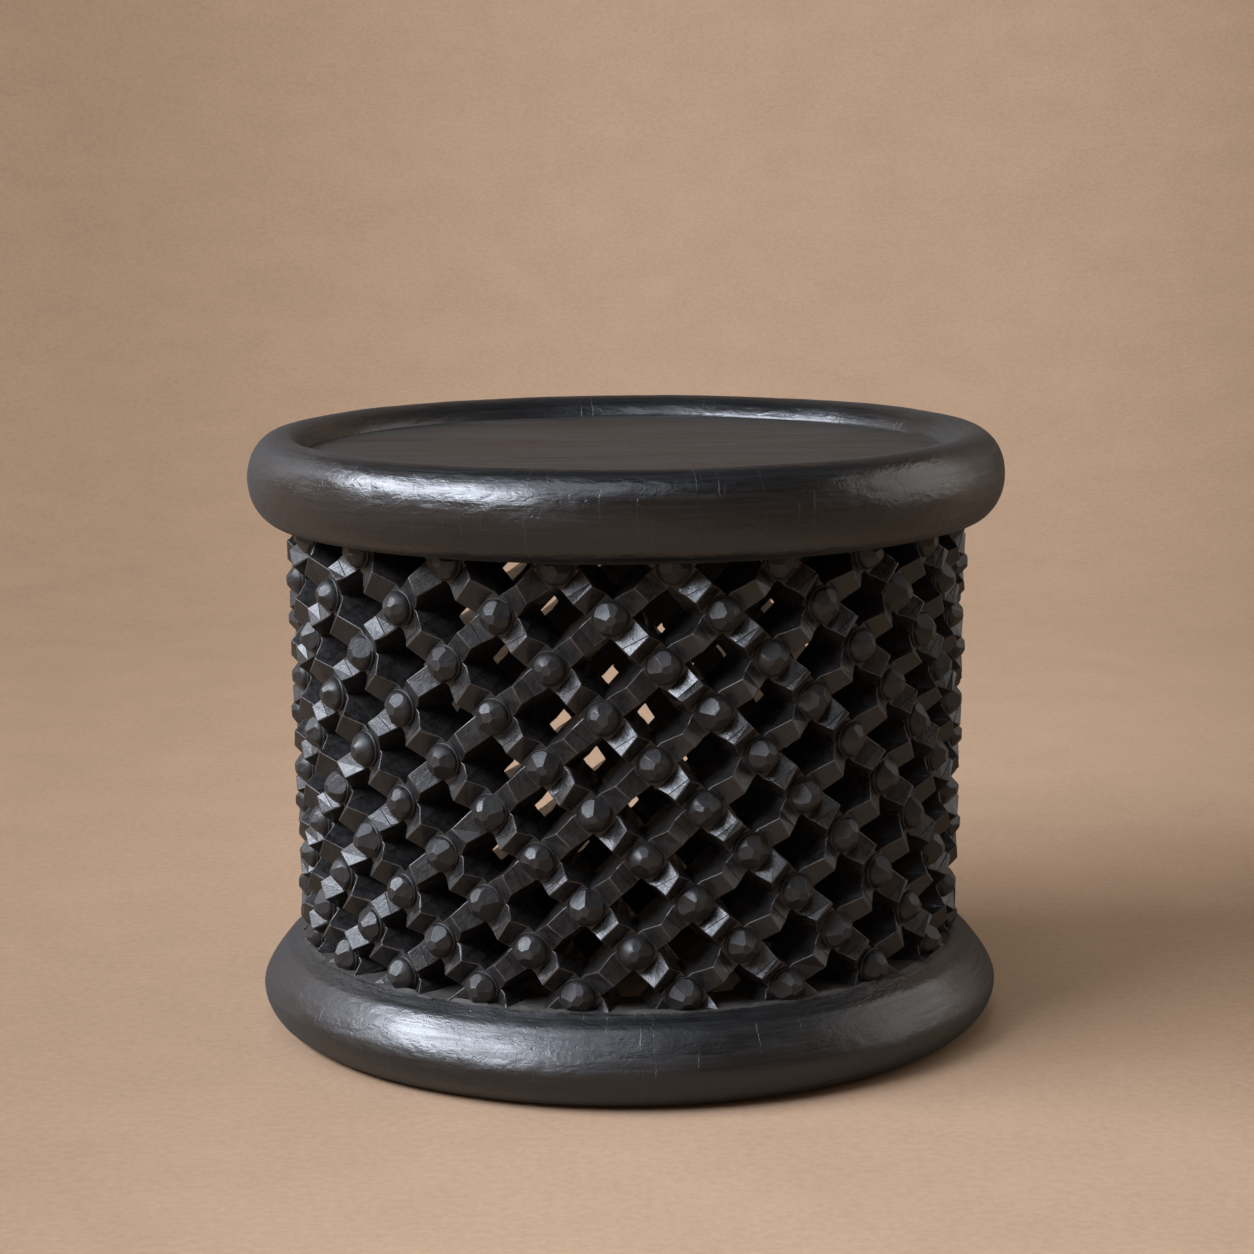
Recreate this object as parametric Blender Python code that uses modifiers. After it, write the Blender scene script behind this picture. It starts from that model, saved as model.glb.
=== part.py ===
"""Openwork drum stool in blackened wood: a recessed round seat in a thick rolled rim, a diagonal lattice wall with
a faceted stud at every crossing, and a rounded foot ring that stands on the floor.

Lengths are in metres. The origin is the centre of the foot ring's underside, +Z is up, and -Y is the side that
the photograph was taken from. Azimuths are measured from -Y towards +X.
"""

import math

import bmesh
import bpy
from mathutils import Vector

# Whole stool
stool_height = 0.3775
fit_gap = 0.0003
turning_steps = 48
weld_distance = 0.00001
sharp_angle = math.radians(35)

# Seat rim: an elliptical roll on a flat land, with a ledge inside it that carries the seat panel
rim_radius = 0.2400
rim_roll_width = 0.0410
rim_height = 0.0548
roll_inner_steps = 3
roll_outer_steps = 8

# Seat panel
seat_recess = 0.0125
seat_thickness = 0.0250

# Foot ring
foot_inset = 0.0030
foot_radius = rim_radius - foot_inset
foot_height = 0.0566
foot_widest_height = 0.0233
foot_shoulder_height = 0.0340
foot_shoulder_inset = 0.0010
foot_underside_inset = 0.0240
foot_curve_steps = 5

# Lattice wall
bars_each_way = 20
stud_rows = 10
half_row_share = 0.5
middle_fall_share = 0.5
rim_overhang = 0.0220
foot_overhang = 0.0230
inner_lip = 0.0020
top_row_drop = 0.0037
bottom_row_rise = 0.0059
first_stud_azimuth = math.radians(-16.65)
lean_share = -0.0318
lean_drift = math.radians(12.7)
lean_drift_azimuth = math.radians(16.4)
row_sag = 0.0074
row_sag_azimuth = math.radians(23.5)

# Lattice bars and studs
rising_width = 0.0148
falling_width = 0.0176
side_lean = math.radians(7.7)
bar_depth = 0.0260
ridge_rise = 0.0086
stud_width = 0.0226
stud_height = 0.0100
stud_tip_width = 0.0075

# Heights and radii that follow from the sizes above
rim_underside = stool_height - rim_height
seat_height = stool_height - seat_recess
top_row_height = rim_underside - top_row_drop
bottom_row_height = foot_height + bottom_row_rise
row_spacing = (top_row_height - bottom_row_height) / (stud_rows - 1)
stud_tip_radius_top = rim_radius - rim_overhang
stud_tip_radius_bottom = foot_radius - foot_overhang
wall_depth = bar_depth + stud_height
ledge_bore_radius = stud_tip_radius_top - wall_depth - inner_lip
foot_bore_radius = stud_tip_radius_bottom - wall_depth - inner_lip
roll_centre_radius = rim_radius - rim_roll_width / 2
roll_centre_height = stool_height - rim_height / 2
seat_edge_angle = math.pi - math.asin(1 - 2 * seat_recess / rim_height)
seat_opening_radius = roll_centre_radius + rim_roll_width / 2 * math.cos(seat_edge_angle)

# Colours, each with its roughness
SEAT_WOOD = ((0.050, 0.042, 0.036, 1.0), 0.42)
RIM_WOOD = ((0.036, 0.034, 0.034, 1.0), 0.34)
FOOT_WOOD = ((0.038, 0.036, 0.035, 1.0), 0.36)
RISING_WOOD = ((0.034, 0.032, 0.031, 1.0), 0.40)
FALLING_WOOD = ((0.032, 0.029, 0.027, 1.0), 0.42)


def clear_scene():
    for obj in list(bpy.data.objects):
        bpy.data.objects.remove(obj, do_unlink=True)


def make_collection(name):
    collection = bpy.data.collections.new(name)
    bpy.context.scene.collection.children.link(collection)
    return collection


def make_wood(name, look):
    colour, roughness = look
    material = bpy.data.materials.new(name)
    material.use_nodes = True
    material.diffuse_color = colour
    shader = material.node_tree.nodes["Principled BSDF"]
    shader.inputs["Base Color"].default_value = colour
    shader.inputs["Roughness"].default_value = roughness
    shader.inputs["Metallic"].default_value = 0.0
    return material


def add_object(name, mesh, material, collection, parent):
    mesh.materials.append(material)
    obj = bpy.data.objects.new(name, mesh)
    obj.parent = parent
    collection.objects.link(obj)
    return obj


def turned(name, profile, closed, material, collection, parent):
    """A solid of revolution about Z from (radius, height) points that run down its outer side."""
    mesh = bpy.data.meshes.new(name)
    edges = [(i, i + 1) for i in range(len(profile) - 1)]
    if closed:
        edges.append((len(profile) - 1, 0))
    mesh.from_pydata([(radius, 0, height) for radius, height in profile], edges, [])
    obj = add_object(name, mesh, material, collection, parent)
    screw = obj.modifiers.new("turn", "SCREW")
    screw.steps = turning_steps
    screw.render_steps = turning_steps
    screw.use_merge_vertices = True
    screw.merge_threshold = weld_distance
    bpy.context.view_layer.update()
    solid = bpy.data.meshes.new_from_object(obj.evaluated_get(bpy.context.evaluated_depsgraph_get()))
    obj.modifiers.clear()
    obj.data = solid
    bpy.data.meshes.remove(mesh)
    solid.name = name
    solid.shade_smooth()
    solid.set_sharp_from_angle(angle=sharp_angle)
    return obj


def rim_profile():
    """From the seat's edge over the roll and down its outside, then in along the land and up past the ledge."""
    crest = math.pi / 2
    inner = [seat_edge_angle + (crest - seat_edge_angle) * i / roll_inner_steps for i in range(roll_inner_steps)]
    outer = [crest - math.pi * i / roll_outer_steps for i in range(roll_outer_steps + 1)]
    points = []
    for angle in inner + outer:
        radius = roll_centre_radius + rim_roll_width / 2 * math.cos(angle)
        points.append((radius, roll_centre_height + rim_height / 2 * math.sin(angle)))
    ledge_height = seat_height - seat_thickness
    points.append((ledge_bore_radius, rim_underside))
    points.append((ledge_bore_radius, ledge_height))
    points.append((seat_opening_radius, ledge_height))
    return points


def seat_profile():
    radius = seat_opening_radius - fit_gap
    underside = seat_height - seat_thickness + fit_gap
    return [(0, seat_height), (radius, seat_height), (radius, underside), (0, underside)]


def foot_profile():
    """From the land under the bars over the sloping shoulder, round the widest point and in under the foot."""
    land_edge = Vector((stud_tip_radius_bottom, foot_height))
    shoulder = Vector((foot_radius - foot_shoulder_inset, foot_shoulder_height))
    widest = Vector((foot_radius, foot_widest_height))
    points = []
    for step in range(foot_curve_steps + 1):
        t = step / foot_curve_steps
        point = land_edge * (1 - t) ** 2 + shoulder * 2 * t * (1 - t) + widest * t**2
        points.append(tuple(point))
    for step in range(1, foot_curve_steps + 1):
        angle = -math.pi / 2 * step / foot_curve_steps
        radius = foot_radius - foot_underside_inset * (1 - math.cos(angle))
        points.append((radius, foot_widest_height * (1 + math.sin(angle))))
    points.append((foot_bore_radius, 0))
    points.append((foot_bore_radius, foot_height))
    return points


class Spot:
    """A place on the lattice wall: its own flat axes there, along a bar, across it and outwards."""

    def __init__(self, line, row, rising):
        azimuth, height = wall_point(line, row, rising)
        before = wall_point(line, row - half_row_share, rising)
        after = wall_point(line, row + half_row_share, rising)
        self.valley = valley_radius(height)
        self.out = Vector((math.sin(azimuth), -math.cos(azimuth), 0))
        self.around = Vector((math.cos(azimuth), math.sin(azimuth), 0))
        self.height = height
        run = self.valley * (after[0] - before[0])
        self.slope = math.atan2(after[1] - before[1], run)

    def at(self, along, across, radius):
        """The point at these distances along and across the bar, in the flat plane at this radius."""
        run = along * math.cos(self.slope) - across * math.sin(self.slope)
        rise = along * math.sin(self.slope) + across * math.cos(self.slope)
        return self.out * radius + self.around * run + Vector((0, 0, self.height + rise))


def wall_point(line, row, rising):
    """Azimuth and height on a bar at a row, where rows may be fractions. Rising bars climb to the right.

    The carver's rows lean a little, by an amount that drifts round the drum, and sag a little."""
    pitch = 2 * math.pi / bars_each_way
    turn = -row / 2 if rising else row / 2
    even = first_stud_azimuth + pitch * (line + turn - lean_share * row)
    fall = row / (stud_rows - 1)
    azimuth = even - lean_drift * (fall - middle_fall_share) * math.cos(even - lean_drift_azimuth)
    sag = row_sag * math.sin(math.pi * fall) * math.sin(azimuth - row_sag_azimuth)
    return azimuth, top_row_height - row_spacing * row + sag


def valley_radius(height):
    """Radius of the wall's outer face beside the studs, which narrows a little from the rim to the foot."""
    share = (height - bottom_row_height) / (top_row_height - bottom_row_height)
    tip = stud_tip_radius_bottom + (stud_tip_radius_top - stud_tip_radius_bottom) * share
    return tip - stud_height


def half_width(rising, depth):
    """Half of a bar's width at a depth under its valleys. Its sides lean, so it is narrower at its ridges."""
    width = rising_width if rising else falling_width
    return width / 2 + depth * math.tan(side_lean)


def lap_stations(spot, other, rising, levels):
    """The corner pairs before and after a crossing, at each level's depth, clear of the crossing bar's sides."""
    angle = other.slope - spot.slope
    stations = {}
    for level, depth in levels.items():
        half = half_width(rising, depth)
        wall = half_width(not rising, depth) + fit_gap
        skew = half / math.tan(angle)
        for key, side in (("before", -1), ("after", 1)):
            reach = side * wall / abs(math.sin(angle))
            pair = ((reach + skew, half), (reach - skew, -half))
            stations[level + key] = [spot.at(*place, spot.valley - depth) for place in pair]
    return stations


def rising_crossing(line, row):
    """A rising bar keeps the outer half of its depth at a crossing, and carries the stud."""
    spot = Spot(line, row, True)
    other = Spot(line - row, row, False)
    levels = {"lap_": (bar_depth - fit_gap) / 2, "inner_": bar_depth}
    stations = lap_stations(spot, other, True, levels)
    half = half_width(True, 0)
    for key, reach in (("top_before", -stud_width / 2), ("top_after", stud_width / 2)):
        stations[key] = [spot.at(reach, side, spot.valley) for side in (half, -half)]
    return spot, stations


def falling_crossing(line, row):
    """A falling bar keeps the inner half, and its outer face dips under the stud's edge."""
    spot = Spot(line, row, False)
    other = Spot(line + row, row, True)
    half_span = row_spacing / 2 / abs(math.sin(spot.slope))
    stud_edge = stud_width / 2 + fit_gap
    ridge_slope = (ridge_rise + fit_gap) / (half_span - stud_edge)
    dip = 2 * fit_gap + ridge_slope * (stud_edge - half_width(True, 0) - fit_gap)
    levels = {"top_": dip, "lap_": (bar_depth + fit_gap) / 2, "inner_": bar_depth}
    return spot, lap_stations(spot, other, False, levels)


def ridge_pair(line, row, rising, radius_offset):
    """The bar's two edges halfway between crossings, at the ridge or on the inner face."""
    spot = Spot(line, row, rising)
    half = half_width(rising, -radius_offset)
    radius = spot.valley + radius_offset
    return [spot.at(0, half, radius), spot.at(0, -half, radius)]


def add_pair(bm, points):
    return [bm.verts.new(point) for point in points]


def add_strip(bm, first, second):
    bm.faces.new((first[0], first[1], second[1], second[0]))


def add_sides(bm, pairs):
    for side in (0, 1):
        bm.faces.new([pair[side] for pair in pairs])


def add_stud(bm, spot, top):
    """A six-sided stud on the outer face, wider than the bar, so that it overhangs the bar on both sides."""
    before, after = top
    sides = add_pair(bm, [spot.at(0, stud_width / 2, spot.valley), spot.at(0, -stud_width / 2, spot.valley)])
    foot = (before[0], sides[0], after[0], after[1], sides[1], before[1])
    centre = spot.at(0, 0, spot.valley)
    shrink = stud_tip_width / stud_width
    tip = [bm.verts.new(centre + (vert.co - centre) * shrink + spot.out * stud_height) for vert in foot]
    for i in range(len(foot)):
        j = (i + 1) % len(foot)
        bm.faces.new((foot[i], foot[j], tip[j], tip[i]))
    bm.faces.new(tip)
    for side in (0, 1):
        bm.faces.new((before[side], sides[side], after[side]))


def cut_flat(bm, height, upward):
    """Ends the bar at a level plane and closes it there."""
    geometry = bm.verts[:] + bm.edges[:] + bm.faces[:]
    normal = (0, 0, 1) if upward else (0, 0, -1)
    bmesh.ops.bisect_plane(bm, geom=geometry, plane_co=(0, 0, height), plane_no=normal, clear_outer=True)
    open_edges = [edge for edge in bm.edges if edge.is_boundary]
    bmesh.ops.holes_fill(bm, edges=open_edges, sides=0)


def lattice_bar(name, line, rising, material, collection, parent):
    """One bar from the rim to the foot ring: full depth and ridged between crossings, half depth at each one."""
    bm = bmesh.new()
    crossing = rising_crossing if rising else falling_crossing
    ridge = add_pair(bm, ridge_pair(line, -half_row_share, rising, ridge_rise))
    inner = add_pair(bm, ridge_pair(line, -half_row_share, rising, -bar_depth))
    add_strip(bm, ridge, inner)
    last_sides = [inner, ridge]
    for row in range(stud_rows):
        spot, points = crossing(line, row)
        pairs = {key: add_pair(bm, pair) for key, pair in points.items()}
        add_strip(bm, ridge, pairs["top_before"])
        add_strip(bm, inner, pairs["inner_before"])
        add_sides(bm, last_sides + [pairs["top_before"], pairs["lap_before"], pairs["inner_before"]])
        add_strip(bm, pairs["lap_before"], pairs["lap_after"])
        if rising:
            add_stud(bm, spot, (pairs["top_before"], pairs["top_after"]))
            add_strip(bm, pairs["lap_before"], pairs["inner_before"])
            add_strip(bm, pairs["lap_after"], pairs["inner_after"])
            outer = "top_"
            near = "lap_"
        else:
            add_strip(bm, pairs["top_before"], pairs["lap_before"])
            add_strip(bm, pairs["lap_after"], pairs["top_after"])
            add_strip(bm, pairs["inner_before"], pairs["inner_after"])
            outer = "lap_"
            near = "inner_"
        corners = (outer + "before", outer + "after", near + "after", near + "before")
        add_sides(bm, [pairs[corner] for corner in corners])
        ridge = add_pair(bm, ridge_pair(line, row + half_row_share, rising, ridge_rise))
        add_strip(bm, pairs["top_after"], ridge)
        inner = pairs["inner_after"]
        last_sides = [inner, pairs["lap_after"], pairs["top_after"], ridge]
    end = add_pair(bm, ridge_pair(line, stud_rows - half_row_share, rising, -bar_depth))
    add_strip(bm, inner, end)
    add_strip(bm, ridge, end)
    add_sides(bm, last_sides + [end])
    bmesh.ops.recalc_face_normals(bm, faces=bm.faces)
    cut_flat(bm, rim_underside - fit_gap, True)
    cut_flat(bm, foot_height + fit_gap, False)
    bmesh.ops.recalc_face_normals(bm, faces=bm.faces)
    mesh = bpy.data.meshes.new(name)
    bm.to_mesh(mesh)
    bm.free()
    return add_object(name, mesh, material, collection, parent)


def build():
    clear_scene()
    parts = make_collection("bamileke_stool")
    axis = bpy.data.objects.new("stool_axis", None)
    parts.objects.link(axis)
    turned("seat_rim", rim_profile(), True, make_wood("rim_wood", RIM_WOOD), parts, axis)
    turned("seat_panel", seat_profile(), False, make_wood("seat_wood", SEAT_WOOD), parts, axis)
    turned("foot_ring", foot_profile(), True, make_wood("foot_wood", FOOT_WOOD), parts, axis)
    rising_wood = make_wood("rising_bar_wood", RISING_WOOD)
    falling_wood = make_wood("falling_bar_wood", FALLING_WOOD)
    for line in range(bars_each_way):
        lattice_bar(f"rising_bar_{line + 1:02d}", line, True, rising_wood, parts, axis)
    for line in range(bars_each_way):
        lattice_bar(f"falling_bar_{line + 1:02d}", line, False, falling_wood, parts, axis)


build()
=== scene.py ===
"""Looks for the openwork drum stool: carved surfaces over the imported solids, blackened wood, a pale studio.

Lengths are in metres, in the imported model's frame: +Z is up, the floor is at zero and -Y faces the camera.
"""

import math
import random

import bmesh
import bpy
from mathutils import Matrix, Vector, noise


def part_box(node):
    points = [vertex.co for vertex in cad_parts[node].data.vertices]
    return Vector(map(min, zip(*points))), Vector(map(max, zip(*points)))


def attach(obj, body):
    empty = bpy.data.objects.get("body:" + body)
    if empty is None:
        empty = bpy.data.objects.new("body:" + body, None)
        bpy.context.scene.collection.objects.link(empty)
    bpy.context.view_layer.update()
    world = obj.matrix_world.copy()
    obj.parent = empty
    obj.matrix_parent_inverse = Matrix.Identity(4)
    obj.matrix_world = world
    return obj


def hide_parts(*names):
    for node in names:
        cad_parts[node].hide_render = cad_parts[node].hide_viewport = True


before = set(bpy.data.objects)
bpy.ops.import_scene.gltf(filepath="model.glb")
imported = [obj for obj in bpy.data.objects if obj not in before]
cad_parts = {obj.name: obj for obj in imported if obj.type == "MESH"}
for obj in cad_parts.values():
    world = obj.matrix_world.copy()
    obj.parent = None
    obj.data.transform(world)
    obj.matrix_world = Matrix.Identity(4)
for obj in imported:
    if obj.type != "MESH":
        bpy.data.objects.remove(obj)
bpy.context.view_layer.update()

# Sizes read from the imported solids
rim_low, rim_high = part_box("seat_rim")
panel_low, panel_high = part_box("seat_panel")
_, foot_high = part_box("foot_ring")
rim_radius = rim_high.x
rim_underside = rim_low.z
rim_height = rim_high.z - rim_low.z
seat_height = panel_high.z
foot_radius = foot_high.x
foot_height = foot_high.z
bars_each_way = sum(name.startswith("rising_bar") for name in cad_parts)

# Rings, as the solids have them
rim_roll_width = 0.0410
rim_bore_step = 0.004
foot_widest_height = 0.0233
foot_shoulder_height = 0.0340
foot_shoulder_inset = 0.0010
foot_underside_inset = 0.0240
foot_edge_rounding = 0.0048
foot_edge_dip = 0.0012
ring_steps = 384

# The torn ledge on the foot's land, where the lattice was cut free
ledge_radius = 0.2095
ledge_wander = 0.0026
ledge_drop = 0.0015
ledge_width = 0.0011
ledge_fray = 0.0008
ledge_roughness = 0.0004

# The fine groove that parts the seat from the rim, and how worn the seat's face is
seat_groove = 0.0016
seat_groove_depth = 0.0009
seat_groove_lip = 0.0002
seat_edge_drop = 0.0003
seat_wear = 0.0005
seat_wear_least = 0.0004

# Lattice wall, as the solids have it
stud_rows = 10
stud_tip_radius_top = 0.2180
stud_tip_radius_bottom = 0.2140
top_row_height = rim_underside - 0.0037
bottom_row_height = foot_height + 0.0059
row_spacing = (top_row_height - bottom_row_height) / (stud_rows - 1)
first_stud_azimuth = math.radians(-16.65)
lean_share = -0.0318
lean_drift = math.radians(12.7)
lean_drift_azimuth = math.radians(16.4)
row_sag = 0.0074
row_sag_azimuth = math.radians(23.5)
rising_width = 0.0148
falling_width = 0.0176
side_lean = math.radians(7.7)
bar_depth = 0.0260
ridge_rise = 0.0086
stud_height = 0.0100
inner_bore_radius = 0.1760
rising_slope = math.radians(41)

# Carving: how far a cut strays from the regular pattern, and how worn its edges are
stud_reach = 0.0114
edge_wear = 0.00032
edge_wear_stray = 0.00030
chip_depth = 0.0009
chip_chance = 0.14
width_stray = 0.0007
ridge_stray = 0.0009
ridge_shift = 0.0010
skew_stray = 0.0014
rising_valley_cut = 0.0004
falling_valley_cut = 0.0009
rising_scribe_skews = (-0.0010, 0.0010)
falling_scribe_skews = (0.0006, 0.0024)
scribe_depth = 0.0004
scribe_half_width = 0.00022
bar_sink = 0.0030
falling_back_step = 0.0005

# A hand's work on the rings: its slow wander, a blade's flats, what they take off, and where they fade out
wander_depth = 0.00045
flat_depth = 0.00016
stray_lost = 0.2
underside_fade = 0.004

# How far in a rounded corner's middle lies, as a share of its width, and the strips that run along corners,
# which take the lighter material of wear and painted edge highlight
round_share = 0.293
WORN_GLINT_STRIPS = (1, 2, 6, 7)

# A stud before its facets are cut: height over the valley, and radius, from its root to the top of its dome
STUD_PROFILE = (
    (-0.0062, 0.0097),
    (-0.0014, 0.0112),
    (0.0003, 0.0115),
    (0.0009, 0.0112),
    (0.0007, 0.0108),
    (0.0003, 0.0106),
    (0.0011, 0.0105),
    (0.0022, 0.0104),
    (0.0033, 0.0100),
    (0.0044, 0.0093),
    (0.0055, 0.0084),
    (0.0066, 0.0074),
    (0.0077, 0.0062),
    (0.0088, 0.0049),
    (0.0098, 0.0035),
    (0.0106, 0.0016),
)
stud_columns = 28
stud_size_strays = (-0.05, 0.02)
stud_tip_stray = 0.0014
stud_tip_tilt = 0.08
facet_distance = 0.0029
facet_distance_stray = 0.0007
facet_centre_stray = 0.0008
facet_turn_stray = 0.12
facet_lean_degrees = 42
facet_lean_stray_degrees = 7
facet_edge = 0.0004

# A bar's materials after the first (the lighter edges, part wear and part painted highlight, and the studs),
# and the mark that a stud's facets carry while they are being cut
WORN_AND_GLINT = 1
STUD = 2
STUD_FACET = 3

# The photograph's view, fitted to the outlines of both rings
camera_lens = 90.56
camera_distance = 2.027
camera_elevation = math.radians(9.63)
camera_roll = -0.0071
camera_aim = Vector((0, 0, 0.2491))

# Studio
floor_colour = (0.330, 0.238, 0.168, 1.0)
# Painted shade: the tint that darkens the backdrop paper towards its sides
side_shade_tint = (0.70, 0.685, 0.66, 1.0)
key_colour = (0.95, 0.95, 1.0)
fill_colour = (1.0, 0.95, 0.88)
studio_centre = Vector((0, 0, 0.25))
floor_reach = 1.5
wall_sweep = 2.3
wall_height = 4.5
floor_gap = 0.0003


def smooth_step(value):
    value = min(max(value, 0.0), 1.0)
    return value * value * (3 - 2 * value)


def piece_from(bm, name, materials, sharp_angle=None):
    """Turns a bmesh into a piece. Without an angle, each face keeps its own flat or round shading."""
    mesh = bpy.data.meshes.new(name)
    bm.to_mesh(mesh)
    bm.free()
    for material in materials:
        mesh.materials.append(material)
    if sharp_angle is not None:
        mesh.set_sharp_from_angle(angle=sharp_angle)
    piece = bpy.data.objects.new(name, mesh)
    bpy.context.scene.collection.objects.link(piece)
    return piece


# Lattice wall geometry, the same rule as the solids follow


def valley_radius(height):
    share = (height - bottom_row_height) / (top_row_height - bottom_row_height)
    return stud_tip_radius_bottom + (stud_tip_radius_top - stud_tip_radius_bottom) * share - stud_height


def wall_point(line, row, rising):
    pitch = 2 * math.pi / bars_each_way
    turn = -row / 2 if rising else row / 2
    even = first_stud_azimuth + pitch * (line + turn - lean_share * row)
    fall = row / (stud_rows - 1)
    azimuth = even - lean_drift * (fall - 0.5) * math.cos(even - lean_drift_azimuth)
    sag = row_sag * math.sin(math.pi * fall) * math.sin(azimuth - row_sag_azimuth)
    return azimuth, top_row_height - row_spacing * row + sag


def half_width(rising, depth):
    """Half of a bar's width at a depth under its valleys: the sides lean, so ridges are narrower."""
    width = rising_width if rising else falling_width
    return width / 2 + depth * math.tan(side_lean)


class Spot:
    """A place on a bar, with its own axes along the bar, across it and outwards."""

    def __init__(self, line, row, rising):
        azimuth, self.height = wall_point(line, row, rising)
        before = wall_point(line, row - 0.5, rising)
        after = wall_point(line, row + 0.5, rising)
        self.rising = rising
        self.valley = valley_radius(self.height)
        self.out = Vector((math.sin(azimuth), -math.cos(azimuth), 0))
        self.around = Vector((math.cos(azimuth), math.sin(azimuth), 0))
        self.slope = math.atan2(after[1] - before[1], self.valley * (after[0] - before[0]))
        up = Vector((0, 0, 1))
        self.along_axis = self.around * math.cos(self.slope) + up * math.sin(self.slope)
        self.across_axis = up * math.cos(self.slope) - self.around * math.sin(self.slope)

    def at(self, along, across, lift):
        """The point at these distances along and across the bar and out from its valley."""
        middle = self.out * (self.valley + lift) + Vector((0, 0, self.height))
        return middle + self.along_axis * along + self.across_axis * across

    def matrix(self):
        """Places what was made about the origin, with its outward axis along +Z, here."""
        turn = Matrix((self.along_axis, self.across_axis, self.out)).transposed().to_4x4()
        return Matrix.Translation(self.at(0, 0, 0)) @ turn


class Section:
    """One cut across a bar: a worn, rounded corner on each side of its outer face, and two inner corners."""

    def __init__(self, spot, along, lift, stray, wear, skew=0.0, slope=0.0):
        half = half_width(spot.rising, -lift)
        left_lift = lift + skew * slope
        right_lift = lift - skew * slope
        left = half + stray[0]
        right = half + stray[1]
        lean = math.tan(side_lean)
        inner = half_width(spot.rising, bar_depth)
        depth = bar_depth if spot.rising else bar_depth - falling_back_step
        self.corners = (
            spot.at(along + skew, left - wear[0], left_lift),
            spot.at(along - skew, wear[1] - right, right_lift),
            spot.at(along - skew, wear[1] * round_share - right, right_lift - wear[1] * round_share),
            spot.at(along - skew, -right - wear[1] * lean, right_lift - wear[1]),
            spot.at(along, -inner, -depth),
            spot.at(along, inner, -depth),
            spot.at(along + skew, left + wear[0] * lean, left_lift - wear[0]),
            spot.at(along + skew, left - wear[0] * round_share, left_lift - wear[0] * round_share),
        )


def bar_sections(line, rising, rng):
    """The cuts from the top row to the bottom row, and whether the strip after each is a worn ridge that
    takes the painted edge highlight.
    """
    sections = []
    drop = -rising_valley_cut if rising else -falling_valley_cut
    scribe_share = 0.60 if rising else 0.34
    scribe_chance = 0.55 if rising else 0.85
    scribe_skews = rising_scribe_skews if rising else falling_scribe_skews

    def strays():
        return rng.uniform(-width_stray, width_stray), rng.uniform(-width_stray, width_stray)

    def wears():
        chip = chip_depth if rng.random() < chip_chance else 0.0
        return edge_wear + rng.random() * edge_wear_stray + chip, edge_wear + rng.random() * edge_wear_stray

    def add_ridge(row):
        """Bars are stepped through downwards, so the face before a ridge is the upper one."""
        spot = Spot(line, row, rising)
        stray = strays()
        skew = rng.uniform(-skew_stray, skew_stray)
        lift = ridge_rise - rng.random() * ridge_stray
        face = row_spacing / 2 / abs(math.sin(spot.slope)) - stud_reach
        offset = rng.uniform(-ridge_shift, ridge_shift)
        slope = (lift - drop) / face
        if rng.random() < scribe_chance:
            centre = face * (scribe_share + rng.uniform(-0.06, 0.06))
            scribe_skew = rng.uniform(*scribe_skews)
            for distance, depth in (
                (centre + scribe_half_width, 0.0),
                (centre, scribe_depth),
                (centre - scribe_half_width, 0.0),
            ):
                height = lift - distance * slope - depth
                cut = Section(spot, offset - distance, height, stray, wears(), scribe_skew, slope)
                sections.append((cut, False))
        wear = edge_wear + rng.random() * edge_wear_stray
        for side, worn_glint in ((-wear, True), (0.0, True), (wear, False)):
            height = lift - max(abs(side), wear * 0.4) * slope
            sections.append((Section(spot, offset + side, height, stray, wears(), skew), worn_glint))

    add_ridge(-0.5)
    for row in range(stud_rows):
        spot = Spot(line, row, rising)
        sections.append((Section(spot, -stud_reach, drop, strays(), wears()), False))
        sections.append((Section(spot, stud_reach, drop, strays(), wears()), False))
        add_ridge(row + 0.5)
    return sections


def loft(bm, sections):
    """Joins the cuts into a closed bar. Its worn corners and ridges take the second material, lighter for
    wear and as a painted edge highlight.
    """
    rings = [[bm.verts.new(corner) for corner in section.corners] for section, worn_glint in sections]
    count = len(rings[0])
    for (first, second), (_, worn_glint) in zip(zip(rings, rings[1:]), sections):
        for i in range(count):
            j = (i + 1) % count
            face = bm.faces.new((first[i], first[j], second[j], second[i]))
            # These strips take the lighter material: wear and a painted edge highlight
            if i in WORN_GLINT_STRIPS or (worn_glint and i == 0):
                face.material_index = WORN_AND_GLINT
                face.smooth = True
    bm.faces.new(rings[0])
    bm.faces.new(rings[-1])


def cut_plane(bm, point, normal):
    """Cuts away what lies beyond a plane and returns the flat face that closes the cut."""
    geometry = bm.verts[:] + bm.edges[:] + bm.faces[:]
    bmesh.ops.bisect_plane(bm, geom=geometry, plane_co=point, plane_no=normal, clear_outer=True)
    filled = bmesh.ops.holes_fill(bm, edges=[edge for edge in bm.edges if edge.is_boundary], sides=0)
    return filled["faces"]


def round_blank(bm, size):
    rings = []
    for height, radius in STUD_PROFILE:
        ring = []
        for i in range(stud_columns):
            angle = 2 * math.pi * i / stud_columns
            reach = radius * size
            ring.append(bm.verts.new((reach * math.cos(angle), reach * math.sin(angle), height)))
        rings.append(ring)
    for first, second in zip(rings, rings[1:]):
        for i in range(stud_columns):
            j = (i + 1) % stud_columns
            bm.faces.new((first[i], first[j], second[j], second[i])).smooth = True
    bm.faces.new(rings[0])
    bm.faces.new(rings[-1])


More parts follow.
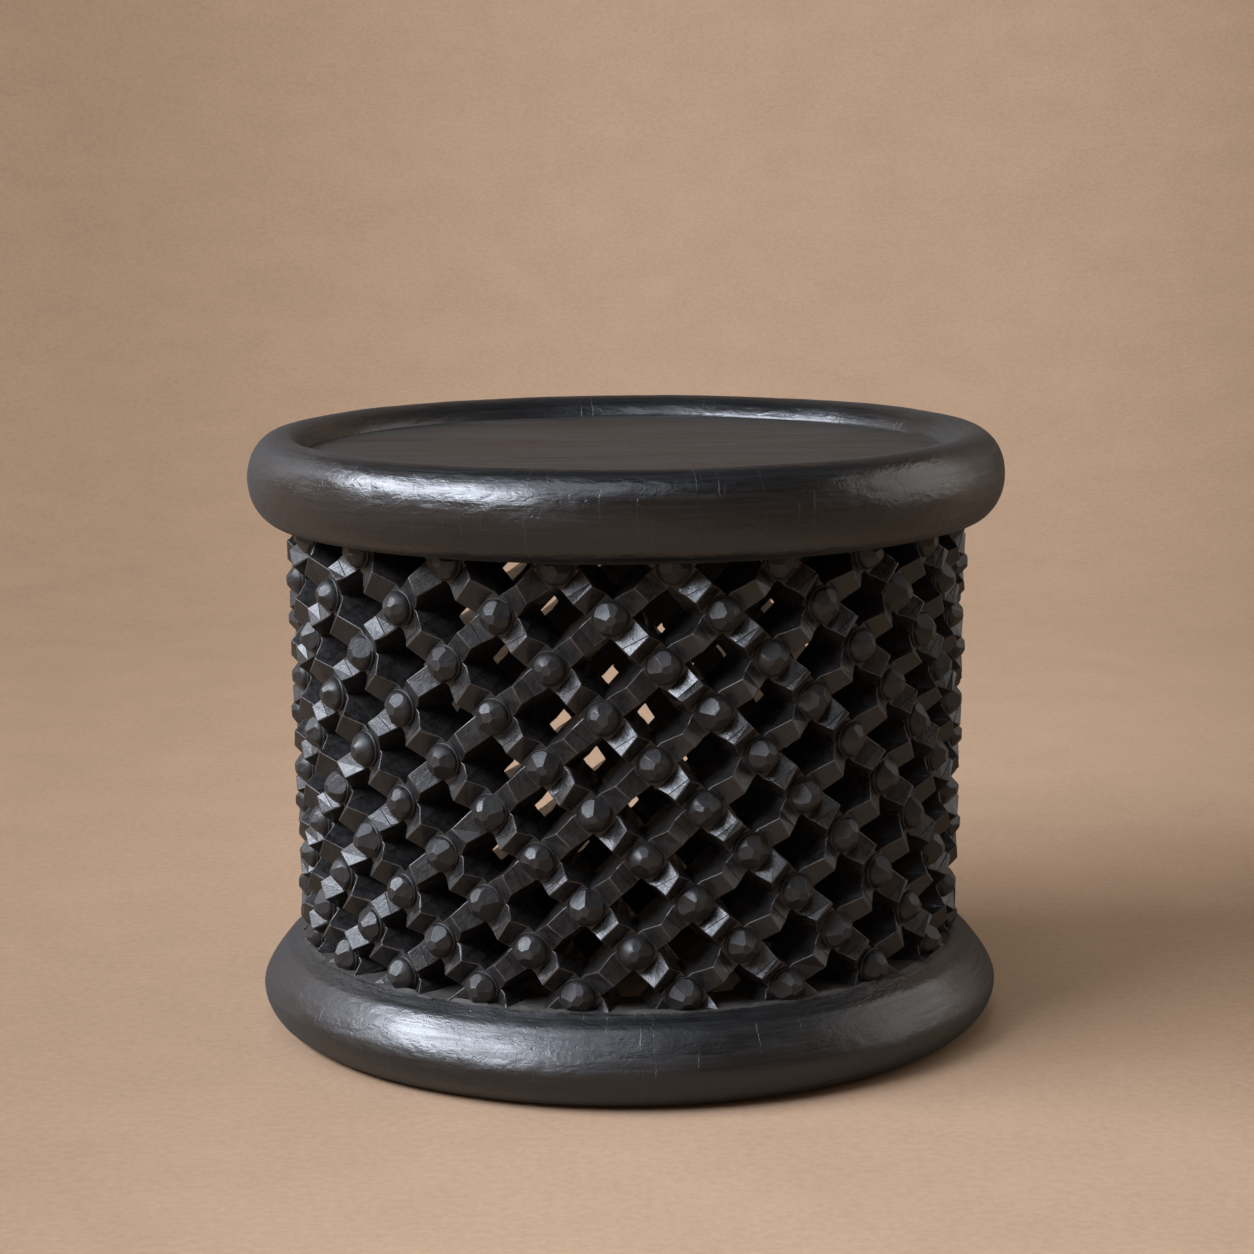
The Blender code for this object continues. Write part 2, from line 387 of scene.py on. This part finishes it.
def carve_stud(spot, rng):
    """A round blank with flat facets cut round its top, a small flat tip and worn edges between them that
    carry a painted highlight as well as wear.
    """
    stud = bmesh.new()
    round_blank(stud, 1 + rng.uniform(*stud_size_strays))
    facets = rng.choice((5, 5, 6, 6))
    turn = rng.uniform(0, 2 * math.pi)
    top = stud_height - rng.random() * stud_tip_stray
    middle = Vector((rng.uniform(-1, 1), rng.uniform(-1, 1), 0)) * facet_centre_stray
    for i in range(facets):
        place = i + rng.uniform(-facet_turn_stray, facet_turn_stray)
        angle = turn + 2 * math.pi * place / facets
        tilt = rng.uniform(-facet_lean_stray_degrees, facet_lean_stray_degrees)
        lean = math.radians(facet_lean_degrees + tilt)
        aside = Vector((math.cos(angle), math.sin(angle), 0))
        distance = facet_distance + rng.uniform(-facet_distance_stray, facet_distance_stray)
        point = middle + aside * distance + Vector((0, 0, top))
        normal = aside * math.sin(lean) + Vector((0, 0, math.cos(lean)))
        for face in cut_plane(stud, point, normal):
            face.material_index = STUD_FACET
    tilts = rng.uniform(-stud_tip_tilt, stud_tip_tilt), rng.uniform(-stud_tip_tilt, stud_tip_tilt)
    tip_normal = Vector((tilts[0], tilts[1], 1))
    for face in cut_plane(stud, (0, 0, top), tip_normal):
        face.material_index = STUD_FACET
    edges = []
    for edge in stud.edges:
        if all(face.material_index == STUD_FACET for face in edge.link_faces):
            edges.append(edge)
    bmesh.ops.bevel(
        stud, geom=edges, offset=facet_edge, segments=2, affect="EDGES", material=WORN_AND_GLINT, clamp_overlap=True
    )
    for face in stud.faces:
        if face.material_index == WORN_AND_GLINT:
            face.smooth = True
            continue
        if face.material_index == STUD_FACET:
            face.smooth = False
        face.material_index = STUD
    stud.transform(spot.matrix())
    return stud


def carve_bar(name, line, rising, materials):
    rng = random.Random(name)
    bm = bmesh.new()
    loft(bm, bar_sections(line, rising, rng))
    bmesh.ops.recalc_face_normals(bm, faces=bm.faces)
    if rising:
        for row in range(stud_rows):
            stud = carve_stud(Spot(line, row, rising), rng)
            bmesh.ops.recalc_face_normals(stud, faces=stud.faces)
            carried = bpy.data.meshes.new("stud")
            stud.to_mesh(carried)
            stud.free()
            bm.from_mesh(carried)
            bpy.data.meshes.remove(carried)
    cut_plane(bm, (0, 0, rim_underside + bar_sink), (0, 0, 1))
    cut_plane(bm, (0, 0, foot_height - bar_sink), (0, 0, -1))
    return piece_from(bm, name, materials)


# Turned rings


def turned(name, profile, closed, stray, material):
    """A ring or disc turned from (radius, height) points, each moved a little by stray."""
    bm = bmesh.new()
    rings = []
    for step in range(ring_steps):
        azimuth = 2 * math.pi * step / ring_steps
        out = Vector((math.sin(azimuth), -math.cos(azimuth), 0))
        ring = []
        for radius, height in profile:
            radius, height = stray(radius, height, out)
            ring.append(bm.verts.new(out * radius + Vector((0, 0, height))))
        rings.append(ring)
    count = len(profile)
    for step in range(ring_steps):
        first = rings[step]
        second = rings[(step + 1) % ring_steps]
        for i in range(count if closed else count - 1):
            j = (i + 1) % count
            bm.faces.new((first[i], first[j], second[j], second[i])).smooth = True
    if not closed:
        bmesh.ops.remove_doubles(bm, verts=bm.verts, dist=0.000001)
    bmesh.ops.recalc_face_normals(bm, faces=bm.faces)
    return piece_from(bm, name, [material], math.radians(40))


def arc(centre, radii, start, end, steps):
    """Points on an ellipse about (radius, height), from one angle to another."""
    points = []
    for i in range(steps + 1):
        angle = start + (end - start) * i / steps
        points.append((centre[0] + radii[0] * math.cos(angle), centre[1] + radii[1] * math.sin(angle)))
    return points


def hand_stray(radius, height, out):
    """The slow wander of a hand-worked ring, with the shallow flats that a blade leaves."""
    place = out * radius + Vector((0, 0, height))
    slow = noise.noise(place * 14) * wander_depth
    flats = noise.noise(Vector((place.x * 70, place.y * 70, place.z * 110))) * flat_depth
    return slow + flats


def rim_profile():
    centre = (rim_radius - rim_roll_width / 2, rim_underside + rim_height / 2)
    radii = (rim_roll_width / 2, rim_height / 2)
    recess = rim_high.z - seat_height
    seat_angle = math.pi - math.asin(1 - 2 * recess / rim_height)
    points = arc(centre, radii, seat_angle, -math.pi / 2, 84)
    inner = inner_bore_radius + rim_bore_step
    land = points[-1][0]
    land_steps = 8
    for i in range(1, land_steps + 1):
        points.append((land + (inner - land) * i / land_steps, rim_underside))
    points.append((inner, panel_low.z))
    points.append((points[0][0], panel_low.z))
    return points, centre


def make_rim(material):
    profile, centre = rim_profile()
    seat_edge = profile[0][0]

    def stray(radius, height, out):
        away = Vector((radius - centre[0], height - centre[1]))
        move = hand_stray(radius, height, out)
        if radius <= seat_edge + 0.0005 or height <= rim_underside + 0.0001:
            move = 0.0
        elif away.length:
            away.normalize()
        return radius + away.x * move - abs(move) * stray_lost, height + away.y * move

    return turned("carved_seat_rim", profile, True, stray, material)


def make_panel(material):
    """The seat, with the fine groove that parts it from the rim and a face that a hand has left uneven."""
    edge = panel_high.x
    steps = 40
    profile = [(0.0, seat_height)]
    for i in range(1, steps + 1):
        profile.append(((edge - seat_groove) * i / steps, seat_height))
    profile.append((edge - seat_groove * 0.75, seat_height - seat_groove_lip))
    profile.append((edge - seat_groove * 0.4, seat_height - seat_groove_depth))
    profile.append((edge, seat_height - seat_edge_drop))
    profile.append((edge, panel_low.z))
    profile.append((0.0, panel_low.z))

    def stray(radius, height, out):
        if height < seat_height or radius == 0.0:
            return radius, height
        place = out * radius
        return radius, height - abs(noise.noise(place * 9)) * seat_wear - seat_wear_least

    return turned("carved_seat_panel", profile, False, stray, material)


def foot_profile():
    """From the bore's top edge out over the land, down the shoulder and in under the foot to the bore."""
    land_edge = Vector((stud_tip_radius_bottom, foot_height))
    shoulder = Vector((foot_radius - foot_shoulder_inset, foot_shoulder_height))
    widest = Vector((foot_radius, foot_widest_height))
    points = []
    inner = inner_bore_radius
    land_steps = 44
    for i in range(land_steps):
        points.append((inner + (land_edge.x - foot_edge_rounding - inner) * i / land_steps, foot_height))
    steps = 40
    for i in range(steps):
        t = i / steps
        point = land_edge * (1 - t) ** 2 + shoulder * 2 * t * (1 - t) + widest * t**2
        start = max(0.0, 1 - t / 0.22)
        dip = foot_edge_dip * math.sin(math.pi * start) * start**0.5
        points.append((point.x - foot_edge_rounding * start**2, point.y - dip))
    centre = (foot_radius - foot_underside_inset, foot_widest_height)
    points += arc(centre, (foot_underside_inset, foot_widest_height), 0.0, -math.pi / 2, 26)
    points.append((inner, 0.0))
    return points


def make_foot(material):
    middle_radius = foot_radius - foot_underside_inset

    def stray(radius, height, out):
        if height <= 0.00001:
            return radius, height
        place = out * radius
        if height >= foot_height - 0.000001:
            edge = ledge_radius + noise.noise(place * 55) * ledge_wander
            edge += noise.noise(place * 210) * ledge_fray
            inside = 1 - smooth_step((radius - edge) / ledge_width + 0.5)
            rough = noise.noise(place * 160) * ledge_roughness * inside
            return radius, height - ledge_drop * inside - abs(rough)
        away = Vector((radius - middle_radius, height - foot_widest_height)).normalized()
        move = hand_stray(radius, height, out)
        share = smooth_step(height / underside_fade)
        lost = abs(move) * stray_lost
        return radius + away.x * move * share - lost, height + away.y * move * share

    return turned("carved_foot_ring", foot_profile(), True, stray, material)


# Materials


class Graph:
    """Adds shader nodes to a material and joins them."""

    def __init__(self, name, colour):
        self.material = bpy.data.materials.new(name)
        self.material.use_nodes = True
        self.material.diffuse_color = colour
        self.tree = self.material.node_tree
        self.shader = self.tree.nodes["Principled BSDF"]
        self.place = self.add("ShaderNodeTexCoord").outputs["Object"]

    def add(self, kind, settings=None, inputs=None):
        node = self.tree.nodes.new(kind)
        for key, value in (settings or {}).items():
            setattr(node, key, value)
        for key, value in (inputs or {}).items():
            if isinstance(value, bpy.types.NodeSocket):
                self.tree.links.new(value, node.inputs[key])
            else:
                node.inputs[key].default_value = value
        return node

    def math(self, operation, first, second=0.0):
        return self.add("ShaderNodeMath", {"operation": operation}, {0: first, 1: second}).outputs[0]

    def scaled(self, scale):
        node = self.add("ShaderNodeMapping", {}, {"Vector": self.place, "Scale": scale})
        return node.outputs["Vector"]

    def blend(self, *shares):
        """The sum of values, each times its share."""
        total = None
        for value, share in shares:
            part = self.math("MULTIPLY", value, share)
            total = part if total is None else self.math("ADD", total, part)
        return total

    def mix(self, factor, first, second, blend_type="MIX"):
        settings = {"data_type": "RGBA", "blend_type": blend_type}
        inputs = {"Factor": factor, "A": first, "B": second}
        return self.add("ShaderNodeMix", settings, inputs).outputs["Result"]

    def noise(self, vector, detail=3.0, rough=0.55, distortion=0.0, w=None):
        inputs = {"Vector": vector, "Scale": 1.0, "Detail": detail, "Roughness": rough}
        inputs["Distortion"] = distortion
        settings = {"noise_dimensions": "3D"}
        if w is not None:
            settings = {"noise_dimensions": "4D"}
            inputs["W"] = w
        return self.add("ShaderNodeTexNoise", settings, inputs).outputs[0]

    def ramp(self, factor, stops):
        node = self.add("ShaderNodeValToRGB", {}, {"Fac": factor})
        elements = node.color_ramp.elements
        while len(elements) < len(stops):
            elements.new(0.5)
        for element, (position, colour) in zip(elements, stops):
            element.position = position
            element.color = colour
        return node.outputs["Color"]

    def span(self, value, low, high, to_low, to_high, kind="LINEAR"):
        settings = {"interpolation_type": kind}
        inputs = {"Value": value, "From Min": low, "From Max": high, "To Min": to_low, "To Max": to_high}
        return self.add("ShaderNodeMapRange", settings, inputs).outputs["Result"]

    def split(self):
        return self.add("ShaderNodeSeparateXYZ", {}, {"Vector": self.place}).outputs

    def azimuth(self):
        """The angle round the stool, from -Y towards +X."""
        split = self.split()
        return self.math("ARCTAN2", split["X"], self.math("MULTIPLY", split["Y"], -1.0))

    def bump(self, height, distance, strength=1.0, normal=None):
        inputs = {"Height": height, "Distance": distance, "Strength": strength}
        if normal is not None:
            inputs["Normal"] = normal
        return self.add("ShaderNodeBump", {}, inputs).outputs["Normal"]

    def polish(self, level):
        """The cool sheen of soot-blackened wood."""
        self.shader.inputs["Specular IOR Level"].default_value = level
        self.shader.inputs["Specular Tint"].default_value = (0.85, 0.92, 1.0, 1.0)

    def join(self, value, socket):
        self.tree.links.new(value, self.shader.inputs[socket])


def round_streaks(graph, along, across):
    """Noise drawn out round the stool, so that streaks follow a ring on every side of it."""
    split = graph.split()
    flat = graph.add("ShaderNodeCombineXYZ", {}, {"X": split["X"], "Y": split["Y"]})
    radius = graph.add("ShaderNodeVectorMath", {"operation": "LENGTH"}, {0: flat.outputs[0]}).outputs["Value"]
    return graph.scaled((along, along, across)), graph.math("MULTIPLY", radius, across)


def upright_cracks(graph):
    """Hairline cracks that stand upright on a ring, each as long as the patch of dry wood that it crosses."""
    wander = graph.noise(graph.scaled((90.0, 90.0, 90.0)), 3.0, 0.6)
    place = graph.blend((graph.azimuth(), 16.0), (wander, 0.30))
    lines = graph.add(
        "ShaderNodeTexVoronoi",
        {"voronoi_dimensions": "1D", "feature": "F1"},
        {"W": place, "Scale": 1.0, "Randomness": 1.0},
    )
    line = graph.span(lines.outputs["Distance"], 0.002, 0.011, 1.0, 0.0)
    dry = graph.span(graph.noise(graph.scaled((46.0, 46.0, 30.0)), 3.0, 0.6), 0.52, 0.60, 0.0, 1.0)
    return graph.math("MULTIPLY", line, dry)


def ring_wood(name, dark, light, roughness, land=None):
    """Blackened, waxed wood: streaks round the ring, blade cuts, pits with painted shade in them, and cracks.
    Its land is left bare.
    """
    graph = Graph(name, light)
    vector, w = round_streaks(graph, 20.0, 420.0)
    streaks = graph.noise(vector, 5.0, 0.65, 0.4, w)
    vector, w = round_streaks(graph, 120.0, 700.0)
    chatter = graph.noise(vector, 3.0, 0.6, 0.8, w)
    vector, w = round_streaks(graph, 48.0, 85.0)
    cuts = graph.noise(vector, 2.0, 0.5, 0.9, w)
    nicks = graph.noise(graph.scaled((150.0, 150.0, 230.0)), 2.0, 0.6, 1.4)
    clouds = graph.noise(graph.scaled((22.0, 22.0, 34.0)), 3.0, 0.5, 0.4)
    fine = graph.noise(graph.scaled((1400.0, 1400.0, 1400.0)), 2.0, 0.6)
    pits = graph.add(
        "ShaderNodeTexVoronoi",
        {"feature": "F1"},
        {"Vector": graph.scaled((120.0, 120.0, 170.0)), "Scale": 1.0, "Randomness": 1.0},
    )
    pitted = graph.span(clouds, 0.46, 0.60, 0.0, 0.08)
    pit_dent_and_shade = graph.span(graph.math("SUBTRACT", pits.outputs["Distance"], pitted), 0.0, 0.07, 0.0, 1.0)
    crack = upright_cracks(graph)
    tone = graph.ramp(streaks, ((0.30, dark), (0.72, light)))
    dusty = (0.034, 0.035, 0.037, 1.0)
    # Painted shade: the pits are painted the darkest tone, as the shade in their hollows
    colour = graph.mix(pit_dent_and_shade, dark, graph.mix(crack, tone, dusty))
    mixed = graph.blend((clouds, 0.35), (streaks, 0.65))
    gloss = graph.span(mixed, 0.38, 0.62, roughness - 0.08, roughness + 0.12)
    facing = graph.add("ShaderNodeLayerWeight", {}, {"Blend": 0.5}).outputs["Facing"]
    gloss = graph.math("ADD", gloss, graph.span(facing, 0.45, 0.95, 0.0, 0.50, "SMOOTHSTEP"))
    if land is not None:
        frayed = graph.math("ADD", graph.split()["Z"], graph.math("MULTIPLY", nicks, 0.0016))
        unpolished = graph.span(frayed, land - 0.0016, land - 0.0004, 0.0, 1.0)
        bare = graph.ramp(chatter, ((0.35, (0.016, 0.014, 0.012, 1.0)), (0.65, (0.040, 0.035, 0.030, 1.0))))
        colour = graph.mix(unpolished, colour, bare)
        gloss = graph.math("ADD", gloss, graph.math("MULTIPLY", unpolished, 0.35))
    graph.join(colour, "Base Color")
    graph.join(gloss, "Roughness")
    normal = graph.bump(clouds, 0.0016, 0.25)
    normal = graph.bump(cuts, 0.0014, 0.46, normal)
    normal = graph.bump(nicks, 0.0005, 0.42, normal)
    normal = graph.bump(streaks, 0.00045, 0.25, normal)
    normal = graph.bump(chatter, 0.0003, 0.28, normal)
    normal = graph.bump(pit_dent_and_shade, 0.0004, 0.35, normal)
    normal = graph.bump(crack, -0.0002, 0.5, normal)
    normal = graph.bump(fine, 0.00005, 0.3, normal)
    graph.join(normal, "Normal")
    graph.polish(0.68)
    graph.shader.inputs["Coat Weight"].default_value = 0.05
    graph.shader.inputs["Coat Roughness"].default_value = 0.17
    graph.tree.links.new(normal, graph.shader.inputs["Coat Normal"])
    return graph.material


def seat_wood(name, dark, light, roughness):
    """The seat: worn duller and browner, with the grain running across it."""
    graph = Graph(name, light)
    grain = graph.noise(graph.scaled((9.0, 120.0, 60.0)), 4.0, 0.6, 0.5)
    clouds = graph.noise(graph.scaled((7.0, 16.0, 10.0)), 3.0, 0.55, 0.6)
    fine = graph.noise(graph.scaled((500.0, 1500.0, 900.0)), 2.0, 0.6)
    mixed = graph.blend((grain, 0.45), (clouds, 0.55))
    graph.join(graph.ramp(mixed, ((0.38, dark), (0.62, light))), "Base Color")
    graph.join(graph.span(clouds, 0.35, 0.65, roughness - 0.05, roughness + 0.10), "Roughness")
    normal = graph.bump(clouds, 0.0014, 0.30)
    normal = graph.bump(grain, 0.0005, 0.5, normal)
    normal = graph.bump(fine, 0.0001, 0.4, normal)
    graph.join(normal, "Normal")
    graph.polish(0.24)
    return graph.material


def knife_streaks(graph, slope, along, across):
    """Noise drawn out along a bar that climbs round the drum at this slope."""
    split = graph.split()
    run = graph.math("MULTIPLY", graph.azimuth(), stud_tip_radius_top)
    flat = graph.add("ShaderNodeCombineXYZ", {}, {"X": run, "Y": split["Z"], "Z": split["Y"]})
    turn = {"Vector": flat.outputs[0], "Rotation": (0, 0, slope)}
    turned_flat = graph.add("ShaderNodeMapping", {"vector_type": "TEXTURE"}, turn)
    stretch = {"Vector": turned_flat.outputs[0], "Scale": (along, across, across * 0.3)}
    return graph.add("ShaderNodeMapping", {}, stretch).outputs["Vector"]


def carved_wood(name, dark, light, roughness, strength, slope):
    """Knife-cut facets: fine streaks along the bar, the log's upright grain and a gloss that varies."""
    graph = Graph(name, light)
    grain = graph.noise(graph.scaled((420.0, 420.0, 34.0)), 4.0, 0.62, 0.2)
    knife = graph.noise(knife_streaks(graph, slope, 45.0, 1100.0), 3.0, 0.6, 0.3)
    nicks = graph.noise(knife_streaks(graph, slope, 260.0, 520.0), 3.0, 0.65, 1.0)
    clouds = graph.noise(graph.scaled((75.0, 75.0, 60.0)), 3.0, 0.55, 0.3)
    fine = graph.noise(graph.scaled((1700.0, 1700.0, 1700.0)), 2.0, 0.6)
    mixed = graph.blend((grain, 0.35), (clouds, 0.30), (knife, 0.35))
    graph.join(graph.ramp(mixed, ((0.38, dark), (0.62, light))), "Base Color")
    graph.join(graph.span(mixed, 0.38, 0.62, roughness - 0.08, roughness + 0.16), "Roughness")
    normal = graph.bump(clouds, 0.0012, 0.28)
    normal = graph.bump(grain, 0.0004, strength * 0.7, normal)
    normal = graph.bump(nicks, 0.0004, strength, normal)
    normal = graph.bump(knife, 0.00016, strength * 1.3, normal)
    normal = graph.bump(fine, 0.00004, strength, normal)
    graph.join(normal, "Normal")
    graph.polish(0.50)
    return graph.material


# Studio


def make_backdrop():
    """A pale floor that sweeps up into a wall all round, so that no edge shows from any side."""
    profile = [(0.0, 0.0), (0.4, 0.0), (0.9, 0.0)]
    profile += arc((floor_reach, wall_sweep), (wall_sweep, wall_sweep), -math.pi / 2, 0.0, 32)
    profile.append((floor_reach + wall_sweep, wall_height))
    points = [(radius, 0, height - floor_gap) for radius, height in profile]
    edges = [(i, i + 1) for i in range(len(profile) - 1)]
    mesh = bpy.data.meshes.new("studio_floor")
    mesh.from_pydata(points, edges, [])
    floor = bpy.data.objects.new("studio_floor", mesh)
    bpy.context.scene.collection.objects.link(floor)
    screw = floor.modifiers.new("sweep", "SCREW")
    screw.steps = 96
    screw.render_steps = 96
    screw.use_merge_vertices = True
    screw.merge_threshold = 0.0001
    screw.use_smooth_shade = True
    mesh.materials.append(paper())


def paper():
    """Felted backdrop paper: mottled, with painted shade that deepens its tone towards its sides."""
    graph = Graph("studio_paper", floor_colour)
    split = graph.split()
    behind = graph.math("MAXIMUM", split["Y"], 0.0)
    widening = graph.math("ADD", graph.math("MULTIPLY", behind, 0.35), 1.0)
    side = graph.math("DIVIDE", split["X"], widening)
    # Painted shade: on its left and right the paper's colour is multiplied towards side_shade_tint, as if
    # less light fell there
    left = graph.span(side, 0.05, -0.50, 0.0, 1.05, "SMOOTHSTEP")
    right = graph.span(side, 0.28, 0.62, 0.0, 0.75, "SMOOTHSTEP")
    clouds = graph.noise(graph.scaled((11.0, 11.0, 11.0)), 3.0, 0.6, 0.4)
    felt = graph.noise(graph.scaled((170.0, 170.0, 170.0)), 3.0, 0.7)
    mottle = graph.blend((clouds, 0.3), (felt, 0.7))
    deep = tuple(c * 0.88 for c in floor_colour[:3]) + (1.0,)
    bright = tuple(c * 1.07 for c in floor_colour[:3]) + (1.0,)
    mottled = graph.ramp(mottle, ((0.34, deep), (0.66, bright)))
    graph.join(graph.mix(graph.math("ADD", left, right), mottled, side_shade_tint, "MULTIPLY"), "Base Color")
    graph.shader.inputs["Roughness"].default_value = 0.9
    graph.shader.inputs["Specular IOR Level"].default_value = 0.1
    return graph.material


def add_panel_light(name, azimuth, elevation, distance, width, height, radiance, colour):
    """A soft rectangular light that faces the stool from this direction."""
    light = bpy.data.lights.new(name, "AREA")
    light.shape = "RECTANGLE"
    light.size = width
    light.size_y = height
    light.color = colour
    light.energy = radiance * math.pi * width * height
    lamp = bpy.data.objects.new(name, light)
    bpy.context.scene.collection.objects.link(lamp)
    turn = math.radians(azimuth)
    rise = math.radians(elevation)
    away = Vector((math.sin(turn) * math.cos(rise), -math.cos(turn) * math.cos(rise), math.sin(rise)))
    lamp.location = studio_centre + away * distance
    lamp.rotation_euler = away.to_track_quat("Z", "Y").to_euler()
    lamp.visible_camera = False
    return lamp


def add_wash(name, place, target, width, height, radiance):
    """A broad light on the paper that the polished wood doesn't mirror."""
    lamp = add_panel_light(name, 0, 0, 1, width, height, radiance, fill_colour)
    lamp.location = place
    lamp.rotation_euler = (Vector(place) - Vector(target)).to_track_quat("Z", "Y").to_euler()
    lamp.visible_glossy = False


def make_world():
    world = bpy.data.worlds.new("studio_air")
    bpy.context.scene.world = world
    world.use_nodes = True
    background = world.node_tree.nodes["Background"]
    background.inputs["Color"].default_value = (0.95, 0.93, 0.90, 1.0)
    background.inputs["Strength"].default_value = 0.12


def make_camera():
    """A long lens a little above the seat, rolled as the photograph is."""
    camera = bpy.data.cameras.new("camera")
    camera.sensor_width = 36
    camera.lens = camera_lens
    holder = bpy.data.objects.new("camera", camera)
    bpy.context.scene.collection.objects.link(holder)
    back = Vector((0, -math.cos(camera_elevation), math.sin(camera_elevation)))
    right = Vector((1, 0, 0))
    up = back.cross(right)
    turned_right = right * math.cos(camera_roll) + up * math.sin(camera_roll)
    turned_up = up * math.cos(camera_roll) - right * math.sin(camera_roll)
    matrix = Matrix((turned_right, turned_up, back)).transposed().to_4x4()
    matrix.translation = camera_aim + back * camera_distance
    holder.matrix_world = matrix
    bpy.context.scene.camera = holder


def make_lights():
    add_panel_light("key", -66, 36, 3.8, 3.7, 1.2, 25.0, key_colour)
    add_panel_light("edge", -122, 24, 3.0, 1.2, 1.6, 1.0, key_colour)
    add_panel_light("fill", 100, 20, 2.4, 1.9, 1.9, 1.3, fill_colour)
    add_panel_light("front", -30, 58, 2.6, 2.0, 1.2, 2.4, key_colour)
    add_wash("ceiling", (0.7, -0.5, 3.4), (0.5, -0.4, 0), 3.0, 3.0, 0.6)
    add_wash("wall_wash", (0, 1.6, 2.9), (0, 3.2, 0.6), 2.4, 1.2, 3.4)
    make_world()


def dress_rings():
    ring_dark = (0.0018, 0.0020, 0.0025, 1)
    ring_light = (0.0056, 0.0061, 0.0072, 1)
    rim_material = ring_wood("rim_blackened", ring_dark, ring_light, 0.29)
    foot_material = ring_wood("foot_blackened", ring_dark, ring_light, 0.36, foot_height)
    seat_material = seat_wood("seat_worn", (0.009, 0.0098, 0.0106, 1), (0.025, 0.0262, 0.0275, 1), 0.52)
    for piece, node, slot in (
        (make_rim(rim_material), "seat_rim", "rim_wood"),
        (make_panel(seat_material), "seat_panel", "seat_wood"),
        (make_foot(foot_material), "foot_ring", "foot_wood"),
    ):
        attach(piece, "root")
        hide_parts(node)


def dress_bars():
    dark = (0.006, 0.006, 0.0062, 1)
    light = (0.018, 0.0185, 0.020, 1)
    rising_material = carved_wood("rising_cut", dark, light, 0.32, 0.34, rising_slope)
    falling_material = carved_wood("falling_cut", dark, light, 0.28, 0.26, -rising_slope)
    # Worn edges: lighter than the faces, part real wear and part a painted highlight along the edges
    worn_glint_dark = (0.018, 0.0176, 0.0176, 1)
    worn_glint_light = (0.048, 0.0465, 0.0472, 1)
    worn_glint_material = carved_wood("edge_worn_glint", worn_glint_dark, worn_glint_light, 0.31, 0.12, 0.0)
    stud_material = carved_wood("stud_cut", dark, (0.015, 0.0155, 0.017, 1), 0.43, 0.32, rising_slope)
    for kind, rising, materials in (
        ("rising", True, [rising_material, worn_glint_material, stud_material]),
        ("falling", False, [falling_material, worn_glint_material]),
    ):
        for line in range(bars_each_way):
            node = f"{kind}_bar_{line + 1:02d}"
            piece = carve_bar("carved_" + node, line, rising, materials)
            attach(piece, "root")
            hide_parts(node)


make_camera()
dress_rings()
dress_bars()
make_backdrop()
make_lights()
bpy.context.scene.view_settings.view_transform = "Standard"
